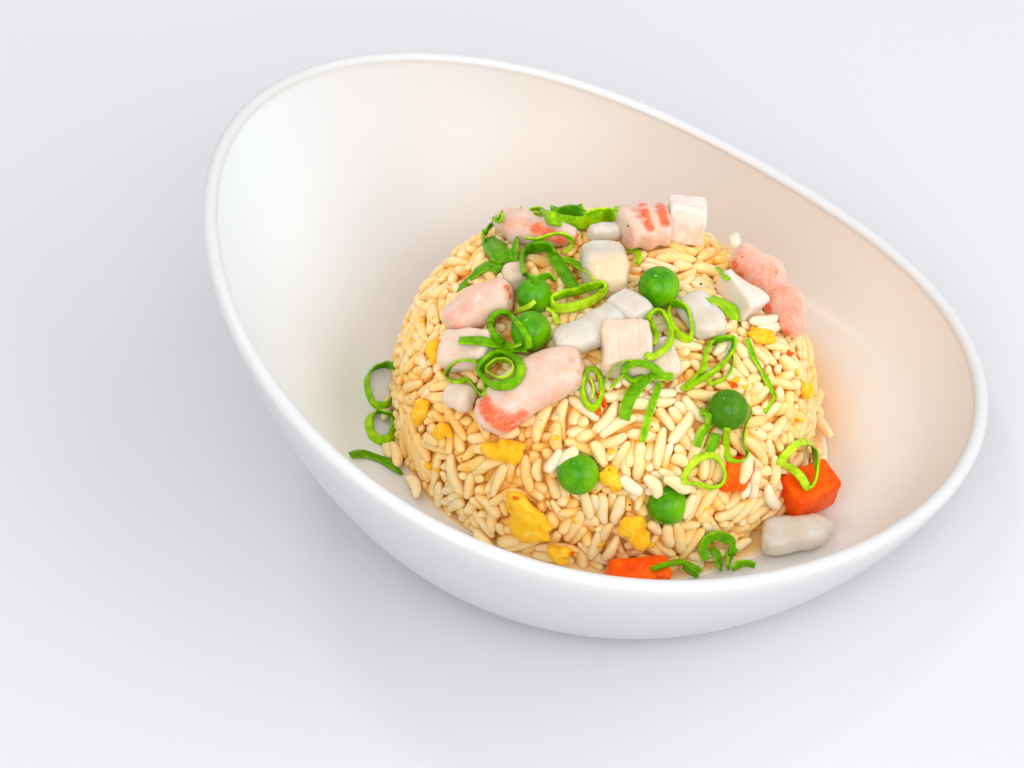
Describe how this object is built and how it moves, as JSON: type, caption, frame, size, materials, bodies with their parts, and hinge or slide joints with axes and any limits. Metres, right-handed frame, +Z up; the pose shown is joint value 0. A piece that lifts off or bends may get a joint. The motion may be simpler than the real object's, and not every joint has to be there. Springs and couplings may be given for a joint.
{
  "type": "bowl of fried rice",
  "caption": "Moulded dome of seafood fried rice with peas, carrot, egg and spring onion, served in a white porcelain bowl whose rim slants from a high end to a low end.",
  "frame": {"origin": "on the table under the bowl, at the middle of the bounding box", "axes": "+Z up; +X towards the low, narrow end of the slanted rim and -X towards its high end; the bowl mirrors itself across the XZ plane"},
  "size_m": [0.1612, 0.1608, 0.0681],
  "materials": {
    "porcelain": "gloss",
    "rice": "satin",
    "pea": "satin",
    "carrot": "satin",
    "shrimp": "satin",
    "squid": "satin",
    "surimi": "satin",
    "egg": "satin"
  },
  "bodies": {
    "root": {"bowl": "porcelain", "rice_mound": "rice", "pea_1": "pea", "pea_2": "pea", "pea_3": "pea", "pea_4": "pea", "pea_5": "pea", "pea_6": "pea", "carrot_1": "carrot", "carrot_2": "carrot", "carrot_3": "carrot", "shrimp_1": "shrimp", "shrimp_2": "shrimp", "shrimp_3": "shrimp", "shrimp_4": "shrimp", "shrimp_5": "shrimp", "squid_1": "squid", "squid_2": "squid", "squid_3": "squid", "squid_4": "squid", "squid_5": "squid", "squid_6": "squid", "surimi_1": "surimi", "surimi_2": "surimi", "surimi_3": "surimi", "surimi_4": "surimi", "surimi_5": "surimi", "surimi_6": "surimi", "surimi_7": "surimi", "egg_1": "egg", "egg_2": "egg", "egg_3": "egg", "egg_4": "egg", "egg_5": "egg", "egg_6": "egg", "egg_7": "egg", "egg_8": "egg", "egg_9": "egg", "egg_10": "egg"}
  },
  "joints": []
}
